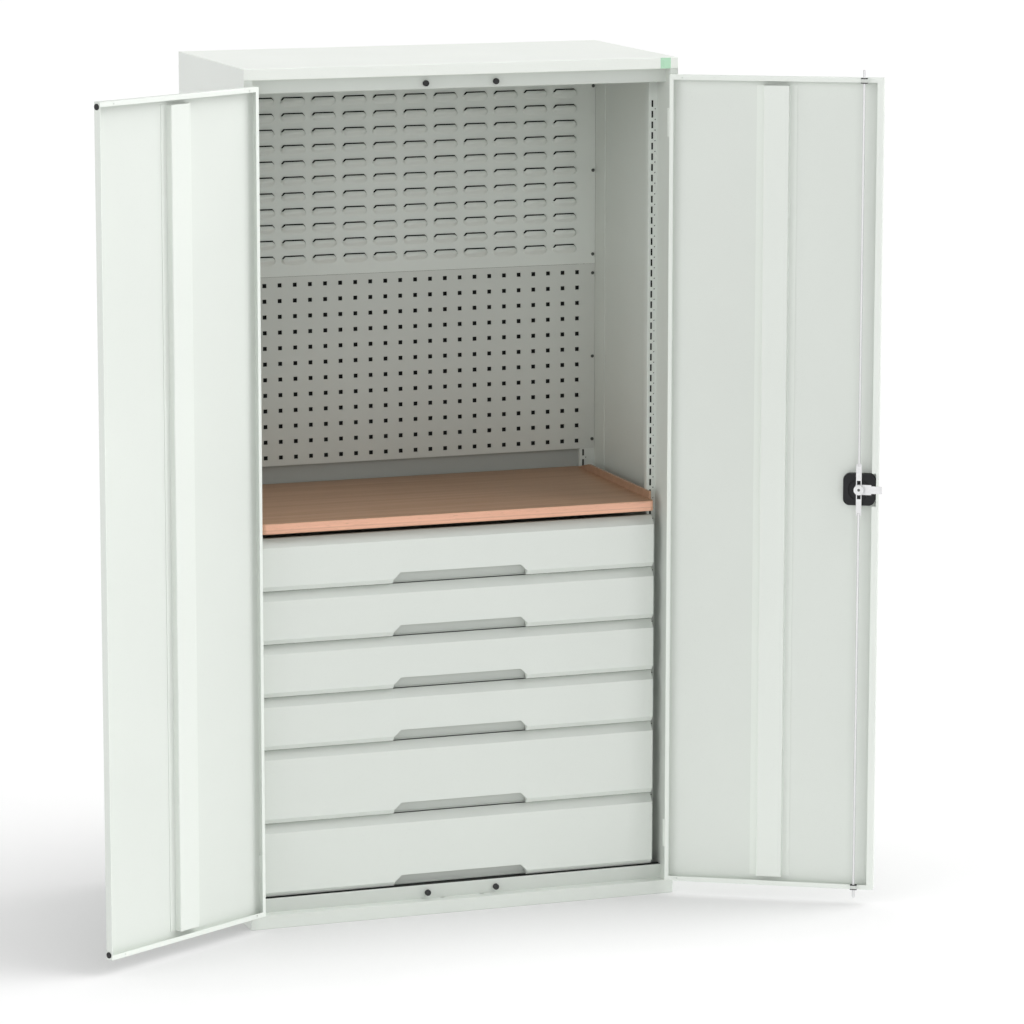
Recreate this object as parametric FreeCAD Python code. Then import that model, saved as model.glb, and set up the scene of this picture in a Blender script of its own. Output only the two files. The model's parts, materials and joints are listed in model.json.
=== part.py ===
import FreeCAD, Part

import os

Vector = FreeCAD.Vector

# Tool cabinet with two doors, drawers and a back wall for bins and tools.
# Millimetres. +Z is up, the front looks towards -Y, the origin is the centre of the footprint on the floor.

# Cabinet
cabinet_width = 1050.0
cabinet_depth = 550.0
cabinet_height = 2000.0
sheet = 1.5  # thickness of the carcass and door sheet
running_gap = 0.3  # between pieces that move past each other

# Fascia over the doors, plinth under them, and the rails that the doors close against
fascia_height = 26.0
plinth_height = 32.0
ledge_depth = 50.0  # of the folded ledges behind the fascia and on the plinth
rail_height = 33.0
rail_setback = 28.0  # from the front plane to the face of the rails
rail_flange = 20.0

# Front posts
post_return = 20.0  # width of the strip beside the doors
post_depth = 80.0  # from the front plane to the slotted face
post_width = 41.0  # from the outside of the cabinet to the slotted face's inner edge
post_hem = 15.0
slot_width = 4.7
slot_height = 16.0
slot_pitch = 25.0
slot_inset = 8.8  # from the inner edge of the slotted face to the middle of the slots
slot_top_margin = 88.0  # from the fascia to the middle of the first slot
slot_foot_margin = 20.0
peg_hole = 3.0  # round holes between the slots
peg_hole_offset = 7.2  # outwards from the slots

# Rear posts
rear_setback = 13.0  # from the back plane to the face of the rear posts
rear_flange = 67.0

# Back wall panels
panel_side_gap = 4.0
panel_top_margin = 61.0  # under the fascia
panel_foot_margin = 45.0  # over the worktop
panel_joint = 0.5
hole_size = 10.0
hole_pitch = 38.0
hole_edge_side = 40.0
hole_edge_end = 15.0
louvre_width = 62.7
louvre_height = 22.0
louvre_proud = 7.5
louvre_pitch_x = 76.7
louvre_pitch_z = 38.0
louvre_side_margin = 48.3
louvre_top_margin = 28.0
louvre_foot_margin = 12.0
screw_inset_x = 10.0
screw_inset_z = 23.0
screw_shank = 4.0
screw_length = 10.0
screw_head = 8.0
screw_head_height = 2.2
screw_hole_gap = 0.3

# Drawers
tall_drawer = 175.0
low_drawer = 125.0
tall_drawers = 2
low_drawers = 4
stack_gap = 0.5  # between the bottom rail and the first drawer
front_gap = 2.0  # between two drawer fronts
front_side_gap = 1.5
front_depth = 25.0
front_sheet = 1.2
top_band_height = 20.0
top_band_lean = 17.0
foot_band_height = 12.0
foot_band_lean = 10.0
front_rim = 35.0  # folded rim behind the front
grip_width = 330.0
grip_height = 27.0
grip_chamfer = 16.0
trough_height = 40.0
trough_back = 21.0  # from the front plane to the back wall of the finger trough
trough_lip = 11.0  # height of the slanted floor of the trough
box_sheet = 1.0
box_foot_gap = 12.0
box_top_gap = 23.0
box_back_gap = 37.0  # from the face of the rear posts

# Telescopic slides
slide_thickness = 12.7
slide_height = 45.0
slide_sheet = 1.2
slide_gap = 0.5
slide_lift = 26.0  # from the drawer box's underside to the middle of the slide
slide_front_setback = 59.0
slide_rear_setback = 11.0
slide_shortening = 20.0
slide_lip_gap = 1.3

# Worktop
worktop_thickness = 25.0
worktop_gap = 11.0  # over the drawers
worktop_side_gap = 0.5
worktop_rear_gap = 1.5
worktop_corner = 12.0
batten_thickness = 6.0
batten_height = 18.5
batten_rebate = 3.0  # let into the worktop
batten_slope = 80.0  # the rear end runs down to the worktop
batten_setback = 22.0
bracket_width = 20.0
bracket_height = 13.0

# Doors
door_side_gap = 2.0
door_middle_gap = 6.0
door_top_gap = 12.2
door_foot_gap = 4.6
door_depth = 18.8
door_open_angle = 150.0
lip_end = 11.5
lip_hinge_side = 10.0
lip_free_side = 16.0
lip_hole = 3.5
lip_hole_inset = 7.0
lip_hole_free = 42.0
lip_hole_hinge = 30.0
stiffener_face = 60.0
stiffener_foot = 17.0
stiffener_sheet = 1.2
stiffener_inset = 21.8
stiffener_gap = 1.0
buffer_diameter = 14.0
buffer_x = 85.0
buffer_foot_z = 14.2  # from the ledge
buffer_top_z = 19.4  # from the fascia
edge_buffer_inset = 11.5
edge_buffer_thickness = 2.6

# Hinges
pivot_side = 0.5  # from the post wall towards the door
pivot_proud = 1.5  # in front of the front plane
knuckle_diameter = 12.0
knuckle_bore = 6.6
pin_diameter = 6.0
hinge_length = 66.0
hinge_inset = 112.9  # from the end of the door to the middle of the hinge
leaf_thickness = 2.0
frame_leaf_depth = 36.0
hinge_gap = 0.5

# Lock
lock_inset = 46.0  # from the free edge
housing_size = 75.0
housing_chamfer = 9.0
housing_notch = 78.0
housing_notch_depth = 10.0
groove_radius = 24.0
groove_width = 3.5
groove_depth = 2.5
groove_gap = 12.0  # between the two arcs of the groove
spindle_diameter = 8.0
tongue_thickness = 1.5
tongue_height = 24.0
tongue_tip_height = 18.0
tongue_shoulder = 29.0
tongue_length = 54.0
rod_diameter = 6.0
rod_to_rail = 1.6
rod_reach = 18.0  # past the end of the door
rod_flat_width = 13.0
rod_flat_thickness = 1.4
rod_flat_end = 55.5
rod_fork_end = 10.0
rod_fork_depth = 12.0
rod_tip_chamfer = 1.2
rod_relief = 75.0  # flattened this far from the lock, so the turned tongue passes
rod_layer_gap = 0.4
tongue_layer_gap = 0.8
hub_diameter = 24.0
hub_thickness = 2.0
guide_width = 15.6
guide_height = 12.5
guide_to_rail = 0.5
guide_end_gap = 0.6
rod_slot_width = 11.0
rod_slot_depth = 8.0

# Outside handle
handle_disc = 48.0
handle_disc_thickness = 14.0
handle_length = 95.0
handle_width = 22.0
handle_thickness = 12.0
core_diameter = 17.0
core_proud = 1.5
core_depth = 12.0
key_slot_width = 2.0
key_slot_length = 9.0
key_slot_depth = 6.0

# Plain plate on the fascia
badge_size = 25.0
badge_thickness = 0.6
badge_side_inset = 31.0

cut_overrun = 5.0

# Places that follow from the sizes
half_width = cabinet_width / 2
front = -cabinet_depth / 2
back = cabinet_depth / 2
inner_side = half_width - sheet
fascia_foot = cabinet_height - fascia_height
rail_y = front + rail_setback
wall_x = half_width - post_return
bay_x = half_width - post_width
slotted_y = front + post_depth
rear_y = back - rear_setback

stack_foot = plinth_height + rail_height + stack_gap
stack_height = tall_drawers * tall_drawer + low_drawers * low_drawer
worktop_foot = stack_foot + stack_height + worktop_gap
worktop_top = worktop_foot + worktop_thickness
worktop_x = bay_x - worktop_side_gap

panel_top = fascia_foot - panel_top_margin
panel_foot = worktop_top + panel_foot_margin
panel_height = (panel_top - panel_foot - panel_joint) / 2
panel_x = half_width - panel_side_gap
panel_y = rear_y - sheet

door_hinge_x = wall_x - door_side_gap
door_free_x = door_middle_gap / 2
door_foot = plinth_height + door_foot_gap
door_top = fascia_foot - door_top_gap
door_middle_z = (door_foot + door_top) / 2
door_inner_y = front + door_depth
pivot_x = wall_x - pivot_side
pivot_y = front - pivot_proud
hinge_heights = (door_foot + hinge_inset, door_top - hinge_inset)

lock_x = door_free_x + lock_inset
rod_y = rail_y - rod_to_rail - rod_diameter / 2
tongue_y = door_inner_y + running_gap
lower_flat_y = tongue_y + tongue_thickness + tongue_layer_gap
upper_flat_y = lower_flat_y + rod_flat_thickness + rod_layer_gap
hub_y = upper_flat_y + rod_flat_thickness + running_gap

front_x = bay_x - front_side_gap
drawer_back_y = rail_y + front_depth
box_x = bay_x - slide_thickness
slide_front_y = front + slide_front_setback
slide_rear_y = back - slide_rear_setback


def plate(x, y, z):
    # A box between the low and high value of each axis.
    size = [high - low for low, high in (x, y, z)]
    return Part.makeBox(*size, Vector(x[0], y[0], z[0]))


def joined(pieces):
    return pieces[0].multiFuse(pieces[1:]).removeSplitter()


def prism(points, run):
    # A closed outline, swept along one straight run.
    outline = Part.makePolygon(list(points) + [points[0]])
    return Part.Face(outline).extrude(run)


def rod(x, y, z, diameter, axis, length):
    return Part.makeCylinder(diameter / 2, length, Vector(x, y, z), axis)


def mirrored(shape):
    return shape.mirror(Vector(0, 0, 0), Vector(1, 0, 0))


def both_sides(shape):
    return Part.makeCompound([mirrored(shape), shape])


def rectangle(x, y, z, width, height):
    # The outline of an upright hole around its middle.
    corners = [(-1, -1), (1, -1), (1, 1), (-1, 1), (-1, -1)]
    return Part.makePolygon([Vector(x + i * width / 2, y, z + k * height / 2) for i, k in corners])


def circle(x, y, z, diameter):
    return Part.Wire(Part.makeCircle(diameter / 2, Vector(x, y, z), Vector(0, 1, 0)))


def holed_sheet(x, y, z, holes):
    # An upright sheet with its holes, made as one face and thickened towards the back.
    outline = rectangle((x[0] + x[1]) / 2, y, (z[0] + z[1]) / 2, x[1] - x[0], z[1] - z[0])
    face = Part.makeFace([outline] + holes, "Part::FaceMakerBullseye")
    return face.extrude(Vector(0, sheet, 0))


def slot_rows(top, foot):
    rows = int((top - foot) / slot_pitch) + 1
    return [top - row * slot_pitch for row in range(rows)]


def post_holes(y):
    # Slots with a small round hole midway between each two.
    heights = slot_rows(fascia_foot - slot_top_margin, plinth_height + slot_foot_margin)
    slot_x = bay_x + slot_inset
    holes = [rectangle(slot_x, y, z, slot_width, slot_height) for z in heights]
    holes += [circle(slot_x + peg_hole_offset, y, z - slot_pitch / 2, peg_hole) for z in heights[:-1]]
    return holes


# Carcass

def side_panel():
    return plate((inner_side, half_width), (front + sheet, back - sheet), (sheet, cabinet_height - sheet))


def back_panel():
    return plate((-half_width, half_width), (back - sheet, back), (sheet, cabinet_height - sheet))


def rod_slots(z):
    half = rod_slot_width / 2
    slots = []
    for x in (-lock_x, lock_x):
        slots.append(
            plate(
                (x - half, x + half),
                (rod_y - rod_slot_depth / 2, rod_y + rod_slot_depth / 2),
                (z - cut_overrun, z + sheet + cut_overrun),
            )
        )
    return slots


def top_panel():
    # Top sheet, fascia and the ledge folded back under it.
    top = plate((-half_width, half_width), (front, back), (cabinet_height - sheet, cabinet_height))
    fascia = plate((-half_width, half_width), (front, front + sheet), (fascia_foot, cabinet_height - sheet))
    ledge_z = (fascia_foot, fascia_foot + sheet)
    ledge = plate((-inner_side, inner_side), (front + sheet, front + ledge_depth), ledge_z)
    return joined([top, fascia, ledge]).cut(rod_slots(fascia_foot))


def base_tray():
    # Bottom sheet, plinth and the ledge folded back over it.
    floor = plate((-half_width, half_width), (front, back), (0, sheet))
    plinth = plate((-half_width, half_width), (front, front + sheet), (sheet, plinth_height))
    ledge_z = plinth_height - sheet
    ledge = plate((-inner_side, inner_side), (front + sheet, front + ledge_depth), (ledge_z, plinth_height))
    return joined([floor, plinth, ledge]).cut(rod_slots(ledge_z))


def front_rail(foot, flange_z):
    face = plate((-wall_x, wall_x), (rail_y, rail_y + sheet), (foot, foot + rail_height))
    flange_y = (rail_y + sheet, rail_y + sheet + rail_flange)
    flange = plate((-wall_x, wall_x), flange_y, (flange_z, flange_z + sheet))
    return joined([face, flange])


def front_post():
    z = (plinth_height, fascia_foot)
    strip = plate((wall_x, half_width), (front, front + sheet), z)
    outer = plate((inner_side - sheet, inner_side), (front + sheet, slotted_y), z)
    wall = plate((wall_x, wall_x + sheet), (front + sheet, slotted_y), z)
    face = holed_sheet((bay_x, wall_x + sheet), slotted_y, z, post_holes(slotted_y))
    hem = plate((bay_x, bay_x + sheet), (slotted_y + sheet, slotted_y + sheet + post_hem), z)
    post = joined([strip, outer, wall, face, hem])
    return post.cut(knuckle_rooms())


def rear_post():
    z = (sheet, cabinet_height - sheet)
    holes = post_holes(rear_y) + screw_holes(rear_y)
    face = holed_sheet((bay_x, inner_side), rear_y, z, holes)
    flange = plate((inner_side - sheet, inner_side), (rear_y - rear_flange, rear_y), z)
    hem = plate((bay_x, bay_x + sheet), (rear_y + sheet, back - sheet), z)
    return joined([face, flange, hem])


# Back wall

def panel_levels():
    # The low and high end of the perforated panel and of the louvred panel.
    joint = panel_foot + panel_height
    return ((panel_foot, joint), (joint + panel_joint, panel_top))


def screw_heights():
    heights = []
    for foot, top in panel_levels():
        heights += [foot + screw_inset_z, (foot + top) / 2, top - screw_inset_z]
    return heights


def screw_x():
    return half_width - screw_inset_x


def screw_holes(y, sides=(1,)):
    diameter = screw_shank + screw_hole_gap
    return [circle(side * screw_x(), y, z, diameter) for z in screw_heights() for side in sides]


def panel_screw_holes(level):
    # The screw holes that lie within one of the two panels.
    diameter = screw_shank + screw_hole_gap
    inside = [z for z in screw_heights() if level[0] < z < level[1]]
    return [circle(side * screw_x(), panel_y, z, diameter) for z in inside for side in (-1, 1)]


def perforated_panel():
    foot, top = panel_levels()[0]
    columns = int((panel_x - hole_edge_side) / hole_pitch * 2) + 1
    rows = int((top - foot - hole_edge_end - hole_edge_end) / hole_pitch) + 1
    middle = (foot + top) / 2
    holes = panel_screw_holes((foot, top))
    for column in range(columns):
        x = (column - (columns - 1) / 2) * hole_pitch
        for row in range(rows):
            z = middle + (row - (rows - 1) / 2) * hole_pitch
            holes.append(rectangle(x, panel_y, z, hole_size, hole_size))
    return holed_sheet((-panel_x, panel_x), panel_y, (foot, top), holes)


def louvre_places():
    foot, top = panel_levels()[1]
    width = panel_x + panel_x - louvre_side_margin - louvre_side_margin - louvre_width
    columns = int(width / louvre_pitch_x) + 1
    height = top - foot - louvre_top_margin - louvre_height - louvre_foot_margin
    rows = int(height / louvre_pitch_z) + 1
    last_x = panel_x - louvre_side_margin - louvre_width / 2
    top_z = top - louvre_top_margin
    return [
        (last_x - column * louvre_pitch_x, top_z - row * louvre_pitch_z)
        for column in range(columns)
        for row in range(rows)
    ]


def louvre():
    # One pressed louvre around x = 0 with its open upper edge at z = 0: a slanted tab between two cheeks.
    half = louvre_width / 2
    tip_y = panel_y - louvre_proud
    tab_points = [
        Vector(-half + sheet, panel_y, -louvre_height),
        Vector(-half + sheet, tip_y, 0),
        Vector(-half + sheet, tip_y + sheet, 0),
        Vector(-half + sheet, panel_y + sheet, -louvre_height),
    ]
    tab = prism(tab_points, Vector(louvre_width - sheet - sheet, 0, 0))
    pieces = [tab]
    for x in (-half, half - sheet):
        cheek_points = [Vector(x, panel_y, -louvre_height), Vector(x, tip_y, 0), Vector(x, panel_y, 0)]
        pieces.append(prism(cheek_points, Vector(sheet, 0, 0)))
    return joined(pieces)


def louvre_panel():
    foot, top = panel_levels()[1]
    places = louvre_places()
    holes = panel_screw_holes((foot, top))
    gap_width = louvre_width - sheet - sheet
    for x, z in places:
        holes.append(rectangle(x, panel_y, z - louvre_height / 2, gap_width, louvre_height))
    plain = holed_sheet((-panel_x, panel_x), panel_y, (foot, top), holes)
    unit = louvre()
    return plain.multiFuse([unit.translated(Vector(x, 0, z)) for x, z in places])


def panel_screws():
    toward_back = Vector(0, 1, 0)
    head_y = panel_y - screw_head_height
    screws = []
    for side in (-1, 1):
        for z in screw_heights():
            x = side * screw_x()
            shank = rod(x, panel_y - screw_head_height / 2, z, screw_shank, toward_back, screw_length)
            head = rod(x, head_y, z, screw_head, toward_back, screw_head_height)
            drive = rod(x, head_y, z, screw_shank / 2, toward_back, screw_head_height / 2)
            screws.append(head.fuse(shank).cut(drive))
    return Part.makeCompound(screws)


# Worktop

def worktop():
    y = (rail_y, back - sheet - worktop_rear_gap)
    board = plate((-worktop_x, worktop_x), y, (worktop_foot, worktop_top))
    corners = [
        edge
        for edge in board.Edges
        if all(abs(vertex.Y - y[0]) < sheet for vertex in edge.Vertexes)
        and abs(edge.Vertexes[0].X - edge.Vertexes[1].X) < sheet
    ]
    rebates = both_sides(
        plate(
            (worktop_x - batten_thickness, worktop_x + cut_overrun),
            (rail_y + batten_setback, rear_y),
            (worktop_top - batten_rebate, worktop_top + cut_overrun),
        )
    )
    return board.makeFillet(worktop_corner, corners).cut(rebates)


def worktop_battens():
    # Upright strips let into the worktop's sides.
    start = rail_y + batten_setback
    top = worktop_top + batten_height
    points = [
        (start, worktop_top - batten_rebate),
        (start, top),
        (rear_y - batten_slope, top),
        (rear_y, worktop_top),
        (rear_y, worktop_top - batten_rebate),
    ]
    inner_x = worktop_x - batten_thickness
    return both_sides(prism([Vector(inner_x, y, z) for y, z in points], Vector(batten_thickness, 0, 0)))


def worktop_brackets():
    y = (slotted_y + sheet, rear_y + sheet)
    flange = plate((bay_x - bracket_width, bay_x), y, (worktop_foot - sheet, worktop_foot))
    leg = plate((bay_x - sheet, bay_x), y, (worktop_foot - bracket_height, worktop_foot - sheet))
    return both_sides(joined([flange, leg]))


# Drawers

def drawer_levels():
    # The low and high end of each drawer front, from the lowest drawer up.
    heights = [tall_drawer] * tall_drawers + [low_drawer] * low_drawers
    levels = []
    foot = stack_foot
    for height in heights:
        levels.append((foot + front_gap / 2, foot + height - front_gap / 2))
        foot += height
    return levels


def upright_prism(x, points):
    # An outline of (y, z) points, swept from one side to the other.
    return prism([Vector(x[0], y, z) for y, z in points], Vector(x[1] - x[0], 0, 0))


def front_outline(foot, top, wall):
    # The folded front seen from the side. wall is how far the outline lies inside the outer skin.
    face = rail_y + wall
    rear = rail_y + front_depth - wall
    return [
        (face, foot + foot_band_height),
        (face, top - top_band_height),
        (rail_y + top_band_lean + wall, top - wall),
        (rear, top - wall),
        (rear, foot + wall),
        (rail_y + foot_band_lean + wall, foot + wall),
    ]


def grip_window(foot):
    # The six-sided cut for the fingers at the lower edge of a front.
    half = grip_width / 2
    points = [
        (-half, foot - cut_overrun),
        (half, foot - cut_overrun),
        (half, foot + grip_height - grip_chamfer),
        (half - grip_chamfer, foot + grip_height),
        (-half + grip_chamfer, foot + grip_height),
        (-half, foot + grip_height - grip_chamfer),
    ]
    start = rail_y - cut_overrun
    depth = trough_back + cut_overrun - front_sheet
    return prism([Vector(x, start, z) for x, z in points], Vector(0, depth, 0))


def trough_outline(foot, wall):
    # The finger trough from the side: an upright back wall over a slanted floor.
    rear = rail_y + trough_back - wall
    return [
        (rail_y + wall, foot + trough_height - wall),
        (rear, foot + trough_height - wall),
        (rear, foot + trough_lip),
        (rail_y + foot_band_lean, foot + wall),
        (rail_y + wall, foot + foot_band_height),
    ]


def drawer_front(foot, top):
    outer = upright_prism((-front_x, front_x), front_outline(foot, top, 0))
    inner_x = front_x - front_sheet
    hollow = upright_prism((-inner_x, inner_x), front_outline(foot, top, front_sheet))
    rear_cut = plate(
        (-front_x + front_rim, front_x - front_rim),
        (drawer_back_y - front_sheet - front_sheet, drawer_back_y + cut_overrun),
        (foot + front_rim, top - front_rim),
    )
    half = grip_width / 2
    trough = upright_prism((-half - front_sheet, half + front_sheet), trough_outline(foot, 0))
    trough_room = upright_prism((-half, half), trough_outline(foot, front_sheet))
    shell = outer.cut(hollow).cut(rear_cut)
    return shell.fuse(trough).removeSplitter().cut([trough_room, grip_window(foot)])


def drawer_box(foot, top):
    x = (-box_x, box_x)
    y = (drawer_back_y, rear_y - box_back_gap)
    z = (foot + box_foot_gap, top - box_top_gap)
    inside = plate(
        (x[0] + box_sheet, x[1] - box_sheet),
        (y[0] + box_sheet, y[1] - box_sheet),
        (z[0] + box_sheet, z[1] + cut_overrun),
    )
    return plate(x, y, z).cut(inside)


def slide_member(web_x, lip_x, half_height, y, z):
    # A channel with an upright web and two lips. web_x is the outer face of the web.
    toward_lip = 1 if lip_x > web_x else -1
    web_inner = web_x + toward_lip * slide_sheet
    x = tuple(sorted((web_x, web_inner)))
    span = tuple(sorted((web_x, lip_x)))
    pieces = [plate(x, y, (z - half_height, z + half_height))]
    pieces.append(plate(span, y, (z + half_height - slide_sheet, z + half_height)))
    pieces.append(plate(span, y, (z - half_height, z - half_height + slide_sheet)))
    return joined(pieces)


def slide_z(foot):
    return foot + box_foot_gap + slide_lift


def slide_lip_x():
    return box_x + slide_sheet + slide_lip_gap


def fixed_runners():
    y = (slide_front_y, slide_rear_y)
    members = []
    for foot, top in drawer_levels():
        member = slide_member(bay_x, slide_lip_x(), slide_height / 2, y, slide_z(foot))
        members += [mirrored(member), member]
    return Part.makeCompound(members)


def slide_middles(foot):
    y = (slide_front_y, slide_rear_y - slide_shortening)
    half_height = slide_height / 2 - slide_sheet - slide_gap
    web_x = bay_x - slide_sheet - slide_gap
    return both_sides(slide_member(web_x, slide_lip_x(), half_height, y, slide_z(foot)))


def drawer_runners(foot):
    y = (slide_front_y, slide_rear_y - slide_shortening)
    step = slide_sheet + slide_gap
    half_height = slide_height / 2 - step - step
    lip_x = bay_x - step - step
    return both_sides(slide_member(box_x, lip_x, half_height, y, slide_z(foot)))


# Doors, drawn closed

def knuckle_rooms():
    # Room for the hinge knuckles in the edge of the door and in the strip beside it.
    diameter = knuckle_diameter + hinge_gap + hinge_gap
    length = hinge_length + hinge_gap + hinge_gap
    return [
        rod(pivot_x, pivot_y, z - length / 2, diameter, Vector(0, 0, 1), length)
        for z in hinge_heights
    ]


def door_pan(lip_free):
    # A pan with lips folded inwards along its edges, for the right side.
    x = (door_free_x, door_hinge_x)
    z = (door_foot, door_top)
    outer = plate(x, (front, door_inner_y), z)
    hollow = plate(
        (x[0] + sheet, x[1] - sheet),
        (front + sheet, door_inner_y - sheet),
        (z[0] + sheet, z[1] - sheet),
    )
    mouth = plate(
        (x[0] + lip_free, x[1] - lip_hinge_side),
        (door_inner_y - sheet - sheet, door_inner_y + cut_overrun),
        (z[0] + lip_end, z[1] - lip_end),
    )
    holes = []
    for hole_x in (door_free_x + lip_hole_free, door_hinge_x - lip_hole_hinge):
        for hole_z in (z[0] + lip_hole_inset, z[1] - lip_hole_inset):
            start = door_inner_y - sheet - sheet
            holes.append(rod(hole_x, start, hole_z, lip_hole, Vector(0, 1, 0), sheet + sheet + cut_overrun))
    return outer.cut([hollow, mouth] + holes + knuckle_rooms())


def left_door_panel():
    return mirrored(door_pan(sheet))


def right_door_panel():
    half = housing_notch / 2
    notch = plate(
        (door_free_x + lip_free_side - housing_notch_depth, door_free_x + lip_free_side + cut_overrun),
        (door_inner_y - sheet - sheet, door_inner_y + cut_overrun),
        (door_middle_z - half, door_middle_z + half),
    )
    bore_size = spindle_diameter + running_gap + running_gap
    spindle_hole = rod(lock_x, front - cut_overrun, door_middle_z, bore_size, Vector(0, 1, 0), door_depth)
    return door_pan(lip_free_side).cut([notch, spindle_hole])


def door_stiffener():
    # A hat channel down the middle of the door.
    middle = (door_free_x + door_hinge_x) / 2
    half = stiffener_face / 2
    skin_y = front + sheet
    crown_y = door_inner_y - stiffener_gap
    z = (door_foot + stiffener_inset, door_top - stiffener_inset)
    crown = plate((middle - half, middle + half), (crown_y - stiffener_sheet, crown_y), z)
    pieces = [crown]
    for side in (-1, 1):
        edge = middle + side * half
        web = sorted((edge, edge - side * stiffener_sheet))
        foot = sorted((edge - side * stiffener_sheet, edge + side * stiffener_foot))
        pieces.append(plate(web, (skin_y, crown_y), z))
        pieces.append(plate(foot, (skin_y, skin_y + stiffener_sheet), z))
    return joined(pieces)


def hinge_leaves(x, rear, level):
    # Half a knuckle and its leaf, at both hinges. level is -1 for the lower half and 1 for the upper half.
    halves = []
    length = (hinge_length - running_gap) / 2
    for z in hinge_heights:
        foot = z + running_gap / 2 if level > 0 else z - running_gap / 2 - length
        up = Vector(0, 0, 1)
        knuckle = rod(pivot_x, pivot_y, foot, knuckle_diameter, up, length)
        leaf = plate(x, (pivot_y, rear), (foot, foot + length))
        bore_length = length + cut_overrun + cut_overrun
        bore = rod(pivot_x, pivot_y, foot - cut_overrun, knuckle_bore, up, bore_length)
        halves.append(knuckle.fuse(leaf).removeSplitter().cut(bore))
    return Part.makeCompound(halves)


def frame_leaves():
    x = (wall_x + sheet, wall_x + sheet + leaf_thickness)
    return hinge_leaves(x, pivot_y + frame_leaf_depth, -1)


def door_leaves():
    x = (door_hinge_x - sheet - leaf_thickness, door_hinge_x - sheet)
    return hinge_leaves(x, door_inner_y - sheet, 1)


def hinge_pins():
    up = Vector(0, 0, 1)
    pins = []
    for z in hinge_heights:
        pins.append(rod(pivot_x, pivot_y, z - hinge_length / 2, pin_diameter, up, hinge_length))
    return Part.makeCompound(pins)


def left_door_buffers():
    buffers = []
    toward_gap = Vector(1, 0, 0)
    middle_y = (front + door_inner_y) / 2
    for z in (door_foot + edge_buffer_inset, door_top - edge_buffer_inset):
        buffers.append(rod(-door_free_x, middle_y, z, buffer_diameter, toward_gap, edge_buffer_thickness))
    return Part.makeCompound(buffers)


def rail_buffers():
    length = rail_y - door_inner_y - running_gap
    buffers = []
    for x in (-buffer_x, buffer_x):
        for z in (plinth_height + buffer_foot_z, fascia_foot - buffer_top_z):
            buffers.append(rod(x, rail_y - length, z, buffer_diameter, Vector(0, 1, 0), length))
    return Part.makeCompound(buffers)


# Lock, drawn closed

def lock_housing():
    half = housing_size / 2
    cut = half - housing_chamfer
    points = [(-half, -cut), (-cut, -half), (cut, -half), (half, -cut)]
    points += [(half, cut), (cut, half), (-cut, half), (-half, cut)]
    start = front + sheet
    depth = door_inner_y - start
    body = prism([Vector(lock_x + x, start, door_middle_z + z) for x, z in points], Vector(0, depth, 0))
    toward_rail = Vector(0, 1, 0)
    ring_start = door_inner_y - groove_depth
    wide = groove_radius + groove_radius + groove_width
    narrow = wide - groove_width - groove_width
    ring = rod(lock_x, ring_start, door_middle_z, wide, toward_rail, groove_depth + cut_overrun)
    ring = ring.cut(rod(lock_x, ring_start, door_middle_z, narrow, toward_rail, groove_depth + cut_overrun))
    bridge = plate(
        (lock_x - groove_gap, lock_x + groove_gap),
        (ring_start, door_inner_y + cut_overrun),
        (door_middle_z - housing_size, door_middle_z + housing_size),
    )
    bore_size = spindle_diameter + running_gap + running_gap
    bore_length = depth + cut_overrun + cut_overrun
    bore = rod(lock_x, start - cut_overrun, door_middle_z, bore_size, toward_rail, bore_length)
    return body.cut([ring.cut(bridge), bore])


def lock_hub():
    # Spindle, locking tongue and the disc that keeps the rods.
    toward_rail = Vector(0, 1, 0)
    start = front - running_gap
    end = hub_y + hub_thickness
    spindle = rod(lock_x, start, door_middle_z, spindle_diameter, toward_rail, end - start)
    disc = rod(lock_x, hub_y, door_middle_z, hub_diameter, toward_rail, hub_thickness)
    tall = tongue_height / 2
    tip = tongue_tip_height / 2
    points = [
        (spindle_diameter, -tall),
        (spindle_diameter, tall),
        (-tongue_shoulder, tall),
        (-tongue_shoulder, tip),
        (-tongue_length, tip),
        (-tongue_length, -tip),
        (-tongue_shoulder, -tip),
        (-tongue_shoulder, -tall),
    ]
    outline = [Vector(lock_x + x, tongue_y, door_middle_z + z) for x, z in points]
    tongue = prism(outline, Vector(0, tongue_thickness, 0))
    return joined([spindle, disc, tongue])


def lock_rod(level, flat_y):
    # A round rod with a flat, forked inner end. level is 1 for the upper rod and -1 for the lower one.
    up = Vector(0, 0, level)
    tip_z = door_top + rod_reach if level > 0 else door_foot - rod_reach
    start_z = door_middle_z + level * rod_flat_end
    length = abs(tip_z - start_z)
    bar = rod(lock_x, rod_y, start_z, rod_diameter, up, length)
    end_edges = [edge for edge in bar.Edges if abs(edge.CenterOfMass.z - tip_z) < rod_tip_chamfer]
    bar = bar.makeChamfer(rod_tip_chamfer, end_edges)
    relief = plate(
        (lock_x - rod_diameter, lock_x + rod_diameter),
        (rod_y - rod_diameter, lower_flat_y),
        sorted((door_middle_z, door_middle_z + level * rod_relief)),
    )
    bar = bar.cut(relief)
    half = rod_flat_width / 2
    z = sorted((door_middle_z + level * rod_fork_end, start_z + level * rod_diameter))
    flat = plate((lock_x - half, lock_x + half), (flat_y, flat_y + rod_flat_thickness), z)
    fork = spindle_diameter / 2 + running_gap
    fork_z = sorted((door_middle_z, door_middle_z + level * (rod_fork_end + rod_fork_depth)))
    fork_y = (flat_y - cut_overrun, flat_y + cut_overrun)
    fork_cut = plate((lock_x - fork, lock_x + fork), fork_y, fork_z)
    return bar.fuse(flat.cut(fork_cut)).removeSplitter()


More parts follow.
